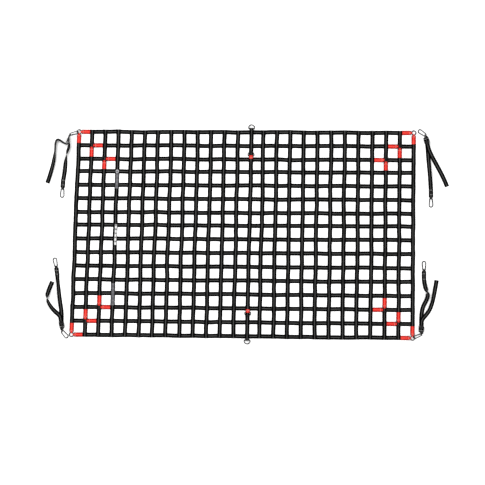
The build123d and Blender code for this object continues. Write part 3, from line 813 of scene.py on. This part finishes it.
# --- tie-down straps ---
# Legs and tails are (x, y, height of the band's middle): the routes of the frame's straps, higher
# where a band stands on edge or turns over. Rolls are (share of the length, degrees).
LEG_Z = THICK / 2
TAIL_Z = 0.00285
STRAPS = {
    "tl": {
        "linked": ("top_left", 196.0),
        "buckle": (-1.3140, 0.7410, -90.0),
        "on_edge": True,
        "end_hook": (-1.3670, 0.3450),
        "leg": [
            (-1.3149, 0.7050, EDGE_Z), (-1.3155, 0.6650, 0.0150), (-1.3340, 0.6230, 0.0160),
            (-1.3380, 0.5890, 0.0175), (-1.3429, 0.5473, 0.0100), (-1.3470, 0.5070, 0.0022),
            (-1.3530, 0.4570, LEG_Z), (-1.3625, 0.4090, LEG_Z),
        ],
        "leg_rolls": [
            (0.0, 90), (0.07, 60), (0.14, 46), (0.25, 54), (0.36, 92), (0.50, 135), (0.64, 160),
            (0.85, 176), (1.0, 180),
        ],
        "tail": [
            (-1.3195, 0.7050, EDGE_Z), (-1.3218, 0.6832, 0.0185), (-1.3490, 0.6890, 0.0160),
            (-1.3760, 0.7090, 0.0160), (-1.4000, 0.7230, 0.0160), (-1.4150, 0.7150, 0.0160),
            (-1.4210, 0.6930, 0.0155), (-1.4220, 0.6730, 0.0140), (-1.4241, 0.6311, 0.0080),
            (-1.4320, 0.5630, TAIL_Z), (-1.4540, 0.4750, LEG_Z), (-1.4820, 0.3900, LEG_Z),
        ],
        "tail_rolls": [
            (0.0, 90), (0.06, 74), (0.24, 64), (0.38, 66), (0.46, 68), (0.53, 48), (0.60, 34), (0.70, 26),
            (0.86, 14), (1.0, 0),
        ],
    },
    "tr": {
        "hook": (1.3890, 0.7530, 145.0),
        "buckle": (1.3930, 0.7300, -76.0),
        "on_edge": False,
        "end_hook": (1.4310, 0.2710),
        "leg": [
            (1.4017, 0.6951, LEG_Z), (1.4080, 0.6350, LEG_Z), (1.4135, 0.5450, 0.0020),
            (1.4245, 0.4230, 0.0016), (1.4310, 0.3330, LEG_Z),
        ],
        "leg_rolls": [(0.0, 0), (0.24, 0), (0.42, 16), (0.6, 26), (0.8, 20), (1.0, 0)],
        "tail": [
            (1.4109, 0.6582, TAIL_Z), (1.4182, 0.6291, 0.0040), (1.4840, 0.5070, 0.0040),
            (1.5310, 0.4200, 0.0026), (1.5530, 0.3630, LEG_Z),
        ],
        "tail_rolls": [(0.0, 0), (0.25, -6), (0.5, 5), (0.8, -4), (1.0, 0)],
    },
    "bl": {
        "hook": (-1.3710, -0.7340, -50.5),
        "buckle": (-1.3700, -0.7050, 100.0),
        "on_edge": False,
        "end_hook": (-1.4160, -0.2430),
        "leg": [
            (-1.3763, -0.6695, LEG_Z), (-1.3715, -0.6050, 0.0012), (-1.3890, -0.4950, 0.0030),
            (-1.4000, -0.3730, 0.0018), (-1.4085, -0.2990, LEG_Z),
        ],
        "leg_rolls": [(0.0, 0), (0.20, 0), (0.40, 14), (0.62, 28), (0.80, 44), (0.92, 34), (1.0, 0)],
        "tail": [
            (-1.3829, -0.6321, TAIL_Z), (-1.3860, -0.6165, 0.0034), (-1.4320, -0.5790, 0.0060),
            (-1.4710, -0.5280, 0.0090), (-1.4890, -0.4790, 0.0170), (-1.4700, -0.4170, 0.0080),
            (-1.4450, -0.3590, LEG_Z),
        ],
        "tail_rolls": [
            (0.0, 0), (0.14, 4), (0.27, 26), (0.40, 38), (0.52, 58), (0.58, 96), (0.66, 158), (0.80, 174),
            (1.0, 180),
        ],
    },
    "br": {
        "linked": ("bottom_right", 22.0),
        "buckle": (1.3570, -0.7380, 88.0),
        "on_edge": False,
        "end_hook": (1.3780, -0.2690),
        "leg": [
            (1.3583, -0.7020, LEG_Z), (1.3560, -0.6290, 0.0012), (1.3680, -0.5520, 0.0026),
            (1.3980, -0.4990, 0.0075), (1.4105, -0.4520, 0.0165), (1.3830, -0.3970, 0.0075),
            (1.3780, -0.3380, LEG_Z),
        ],
        "leg_rolls": [(0.0, 0), (0.45, 5), (0.66, 14), (0.71, 50), (0.74, 130), (0.80, 166), (1.0, 180)],
        "tail": [
            (1.3596, -0.6640, TAIL_Z), (1.3603, -0.6480, 0.0032), (1.4120, -0.5930, 0.0034),
            (1.4380, -0.5350, 0.0030), (1.4590, -0.4410, 0.0024), (1.4740, -0.3490, LEG_Z),
        ],
        "tail_rolls": [(0.0, 0), (0.3, 16), (0.55, 20), (0.8, 8), (1.0, 0)],
    },
}
LINKED_OFFSET = 0.022
HOOK_REACH = 0.050


def smooth_line(name, controls):
    """Points along a smooth line through the space of its control points."""
    curve = bpy.data.curves.new(name, "CURVE")
    curve.dimensions = "3D"
    curve.resolution_u = 14
    spline = curve.splines.new("NURBS")
    spline.points.add(len(controls) - 1)
    for point, control in zip(spline.points, controls):
        point.co = (*control, 1)
    spline.order_u = 3
    spline.use_endpoint_u = True
    carrier = bpy.data.objects.new(name, curve)
    mesh = bpy.data.meshes.new_from_object(carrier)
    points = [v.co.copy() for v in mesh.vertices]
    bpy.data.objects.remove(carrier)
    bpy.data.meshes.remove(mesh)
    return points


def band_along(points, rolls):
    """Stations of a band that follows a line, rolled about it."""
    stations = []
    for k, (middle, roll) in enumerate(zip(points, rolls)):
        before = points[max(0, k - 1)]
        after = points[min(len(points) - 1, k + 1)]
        way = (after - before).normalized()
        level = UP.cross(way).normalized()
        lean = radians(roll)
        rise = way.cross(level)
        side = level * cos(lean) + rise * sin(lean)
        stations.append(flat_station(middle, side, way.cross(side)))
    return stations


def rolls_along(line, keys):
    """Roll at each point of a line, eased between keys of (share of the length, degrees)."""
    runs = [0.0]
    for before, after in zip(line, line[1:]):
        runs.append(runs[-1] + (after - before).length)
    rolls = []
    for run in runs:
        share = run / runs[-1]
        left = max(k for k in range(len(keys) - 1) if keys[k][0] <= share)
        (start, low_roll), (end, high_roll) = keys[left], keys[left + 1]
        rolls.append(low_roll + (high_roll - low_roll) * (share - start) / (end - start))
    for _ in range(3):
        inner = [(a + 2 * b + c) / 4 for a, b, c in zip(rolls, rolls[1:], rolls[2:])]
        rolls = [rolls[0], *inner, rolls[-1]]
    return rolls


def free_band(strap_name, part, strap, exit_point):
    """A strap's free run, as a flat band. Its lower edge never goes under the floor."""
    name = f"{strap_name}_{part}_webbing"
    body = f"strap_{strap_name}"
    line = smooth_line(name, strap[part])
    rolls = rolls_along(line, strap[f"{part}_rolls"])
    for point, roll in zip(line, rolls):
        lean = radians(roll)
        point.z = max(point.z, HALF * abs(sin(lean)) + THICK / 2 * abs(cos(lean)) + 0.00005)
    draft = Draft()
    length = draft.band(band_along(line, rolls))
    piece = draft.finish(name, BLACK, body, "black_webbing")
    [tuple(p) for p in line]


def buckle_frame_at(strap):
    """Origin, along, across and normal of a strap's buckle, which stands on edge or lies flat."""
    x, y, angle = strap["buckle"]
    if strap["on_edge"]:
        return Vector((x, y, EDGE_Z)), Vector((0, -1, 0)), Vector((0, 0, 1)), Vector((-1, 0, 0))
    return hook_frame(x, y, 0.0, angle)


def buckle_webbing(draft, strap):
    """Webbing in under the base plate, round its nose and back over it, then down to the tail."""
    origin, along, across, normal = buckle_frame_at(strap)
    nose_x, nose_z, turn = 0.011, 0.0032, 0.0023
    side_view = [(0.0358, 0.0009), (0.028, 0.0009), (0.020, 0.0009), (0.014, 0.0009)]
    side_view += [(nose_x + turn * cos(radians(a)), nose_z + turn * sin(radians(a)))
                  for a in range(-90, -271, -20)]
    side_view += [(0.014, 0.0055), (0.022, 0.0055), (0.030, 0.0055), (0.0358, 0.0055)]
    if not strap["on_edge"]:
        side_view += [(0.041, 0.0054), (0.048, 0.0049), (0.056, 0.0042), (0.064, 0.0035), (0.0738, TAIL_Z)]
    stations = []
    for k, (x, z) in enumerate(side_view):
        a = side_view[max(0, k - 1)]
        b = side_view[min(len(side_view) - 1, k + 1)]
        way = (along * (b[0] - a[0]) + normal * (b[1] - a[1])).normalized()
        middle = origin + along * x + normal * z
        stations.append(flat_station(middle, across, way.cross(across), HALF - 0.0003))
    draft.band(stations)


def end_loop(draft, threads, tacks, bar_point, leg_end):
    """Leg's end, gathered round the hook's bar and sewn back on itself."""
    back = leg_end - bar_point
    back.z = 0
    reach = back.length
    along = -back.normalized()
    across = UP.cross(along)
    wrap = HOOK_WIRE + 0.00015 + THICK / 2
    rise = bar_point.z
    neck = 0.0056
    inset = 0.0105

    def layer(xs, heights):
        layered = []
        count = len(xs)
        for k in range(count):
            a, b = max(0, k - 1), min(count - 1, k + 1)
            way = (-along * (xs[b] - xs[a]) + UP * (heights[b] - heights[a])).normalized()
            middle = bar_point - along * xs[k]
            middle.z = heights[k]
            half = neck + (HALF - neck) * smoothstep((xs[k] - 0.0035) / 0.0105)
            layered.append(flat_station(middle, across, way.cross(across), half))
        return layered

    low_x = [reach - 0.0004, reach * 0.75, reach * 0.5, 0.030, 0.024, 0.018, 0.013, 0.009, 0.005]
    high_x = [0.005, 0.008, 0.011, 0.015, 0.019, 0.024, 0.030]
    high_x += [reach * 0.6, reach * 0.8, reach, reach + 0.009]
    high_z = [rise + 0.0036, rise + 0.0020, rise + 0.0002, rise - 0.0012, rise - 0.0018]
    high_z += [LEG_Z + THICK] * (len(high_x) - len(high_z))
    stations = layer(low_x, [LEG_Z] * len(low_x))
    for k in range(13):
        turn = radians(-90 + 15 * k)
        out = along * cos(turn) + UP * sin(turn)
        stations.append(flat_station(bar_point + out * wrap, across, -out, neck))
    draft.band(stations + layer(high_x, high_z))
    top = LEG_Z + 1.5 * THICK + 0.0001
    for side in (-1, 1):
        start = bar_point - along * 0.030 + across * side * inset
        finish = bar_point - along * (reach + 0.004) + across * side * inset
        start.z = finish.z = top
        threads.seam(start, finish, UP)
    for x in (0.031, reach + 0.003):
        middle = bar_point - along * x
        middle.z = top
        tacks.bartack(middle, along, UP, 2 * inset, rows=6)


def bar_loop(draft, first, second):
    """Endless loop of webbing round two bars, pinched together and sewn between them.

    Each bar is (middle, axis, wire radius, band half width).
    """
    a_mid, a_axis, a_wire, a_half = first
    b_mid, b_axis, b_wire, b_half = second
    if a_axis.dot(b_axis) < 0:
        b_axis = -b_axis
    gap = b_mid - a_mid
    away_a = -(gap - a_axis * gap.dot(a_axis)).normalized()
    away_b = (gap - b_axis * gap.dot(b_axis)).normalized()
    up_a = a_axis.cross(away_a)
    up_b = -b_axis.cross(away_b)
    if up_a.dot(up_b) < 0:
        up_b = -up_b
    wrap_a = a_wire + 0.00015 + THICK / 2
    wrap_b = b_wire + 0.00015 + THICK / 2
    stations = []

    def bridge(sign, backward):
        shares = [0.12, 0.26, 0.42, 0.58, 0.74, 0.88]
        for share in (reversed(shares) if backward else shares):
            pinch = 1 - 0.72 * sin(pi * share)
            up = up_a.lerp(up_b, share).normalized()
            axis = a_axis.lerp(b_axis, share).normalized()
            wrap = wrap_a + (wrap_b - wrap_a) * share
            middle = a_mid.lerp(b_mid, share) + up * (sign * wrap * pinch)
            half = a_half + (b_half - a_half) * smoothstep((share - 0.24) / 0.36)
            stations.append(flat_station(middle, axis, up * sign, half))

    for k in range(13):
        turn = radians(90 - 15 * k)
        out = away_a * cos(turn) + up_a * sin(turn)
        stations.append(flat_station(a_mid + out * wrap_a, a_axis, out, a_half))
    bridge(-1, False)
    for k in range(13):
        turn = radians(-90 + 15 * k)
        out = away_b * cos(turn) + up_b * sin(turn)
        stations.append(flat_station(b_mid + out * wrap_b, b_axis, out, b_half))
    bridge(1, True)
    stations.append(stations[0])
    draft.band(stations, half=b_half)


def first_hook_frame(strap):
    """The first hook, which hangs on its corner ring or lies loose beside it."""
    if "linked" not in strap:
        x, y, heading = strap["hook"]
        return hook_frame(x, y, HOOK_BAR_Z, heading)
    corner, heading = strap["linked"]
    reach = LINKED_OFFSET + HOOK_REACH
    x = CORNERS[corner].x + reach * cos(radians(heading))
    y = CORNERS[corner].y + reach * sin(radians(heading))
    return hook_frame(x, y, HOOKED_RING_Z, heading + 180, roll=45.0)


def tie_downs():
    """Each strap's webbing: end loop, leg, turn in the buckle, tail and anchor loop."""
    for name, strap in STRAPS.items():
        body = f"strap_{name}"
        origin, along, across, normal = buckle_frame_at(strap)
        loops, threads, tacks = Draft(), Draft(), Draft()
        bar_point = Vector((*strap["end_hook"], HOOK_BAR_Z))
        end_loop(loops, threads, tacks, bar_point, Vector(strap["leg"][-1]))
        fittings = [
            loops.finish(f"{name}_end_loop", BLACK, body, "black_webbing", [f"{name}_webbing"]),
            threads.finish(f"{name}_end_loop_stitches", THREAD_BLACK, body, "black_webbing"),
            tacks.finish(f"{name}_end_loop_bartacks", THREAD_GREY, body, "black_webbing"),
            frame["nodes"][f"{name}_end_hook"],
            frame["nodes"][f"{name}_end_hook_gate"],
        ]
        leg_exit = tuple(origin + along * 0.036 + normal * LEG_Z)
        free_band(name, "leg", strap, leg_exit)
        free_band(name, "tail", strap, tuple(Vector(strap["tail"][0])))
        turn = Draft()
        buckle_webbing(turn, strap)
        turn.finish(f"{name}_buckle_webbing", BLACK, body, "black_webbing")
        hook_point, _, hook_across, _ = first_hook_frame(strap)
        anchor = Draft()
        bar_loop(anchor, (hook_point, hook_across, HOOK_WIRE, 0.0046),
                 (origin + normal * 0.0045, across, BAR_WIRE, 0.014))
        anchor.finish(f"{name}_anchor_webbing", BLACK, body, "black_webbing", [f"{name}_anchor_loop"])


# --- metal pieces carried over from the frame ---
def paint_metal():
    """Rings, hooks and buckles get their metal by material slot. One buckle frame gets a bright copy of the
    buckle metal, a painted glint.
    """
    looks = {"ring_steel": RING_METAL, "hook_steel": HOOK_METAL, "buckle_steel": BUCKLE_METAL}
    for part in frame["record"]["subparts"]:
        look = looks.get(part["material_slot"])
        if look is None:
            continue
        # This buckle frame alone gets the painted glint.
        if part["node"] == "bl_buckle_frame":
            look = GLINT_FRAME_METAL
        node = frame["nodes"][part["node"]]
        if not node.material_slots:
            node.data.materials.append(look)
        for slot in node.material_slots:
            slot.material = look


# --- stage, light and camera ---
def stage():
    """White floor just under the webbing, white surroundings and two soft lights."""
    mesh = bpy.data.meshes.new("floor")
    side = 30.0
    floor_z = -0.0004
    corners = [(a * side, b * side, floor_z) for a, b in ((-1, -1), (1, -1), (1, 1), (-1, 1))]
    mesh.from_pydata(corners, [], [(0, 1, 2, 3)])
    floor = bpy.data.objects.new("floor", mesh)
    scene.collection.objects.link(floor)
    material, _, _, shader = new_material("floor_white")
    shader.inputs["Base Color"].default_value = (0.93, 0.93, 0.93, 1)
    shader.inputs["Roughness"].default_value = 0.9
    shader.inputs["Specular IOR Level"].default_value = 0.1
    mesh.materials.append(material)
    world = bpy.data.worlds.new("world")
    world.use_nodes = True
    background = world.node_tree.nodes["Background"]
    background.inputs["Color"].default_value = (1, 1, 1, 1)
    background.inputs["Strength"].default_value = 1.0
    scene.world = world
    for label, place, size, power in (
        ("key_light", (-3.5, 3.0, 6.0), 4.0, 260.0),
        ("fill_light", (4.0, -2.5, 6.5), 5.0, 120.0),
    ):
        light = bpy.data.lights.new(label, "AREA")
        light.energy = power
        light.size = size
        lamp = bpy.data.objects.new(label, light)
        lamp.location = place
        lamp.rotation_euler = (-Vector(place)).to_track_quat("-Z", "Y").to_euler()
        scene.collection.objects.link(lamp)
    scene.view_settings.view_transform = "Standard"
    scene.view_settings.gamma = 0.8


def camera():
    """Straight above, from far away."""
    field = 3.684
    lens = bpy.data.cameras.new("camera")
    lens.lens = 200.0
    lens.sensor_width = 36.0
    rig = bpy.data.objects.new("camera", lens)
    distance = field * lens.lens / lens.sensor_width
    rig.location = (-0.0004, -0.0617, distance)
    rig.rotation_euler = (0, 0, 0)
    lens.clip_end = 100.0
    scene.collection.objects.link(rig)
    scene.camera = rig


camera()
stage()
tie_downs()
net_straps()
crossing_seams()
markers()
tabs()
labels()
paint_metal()
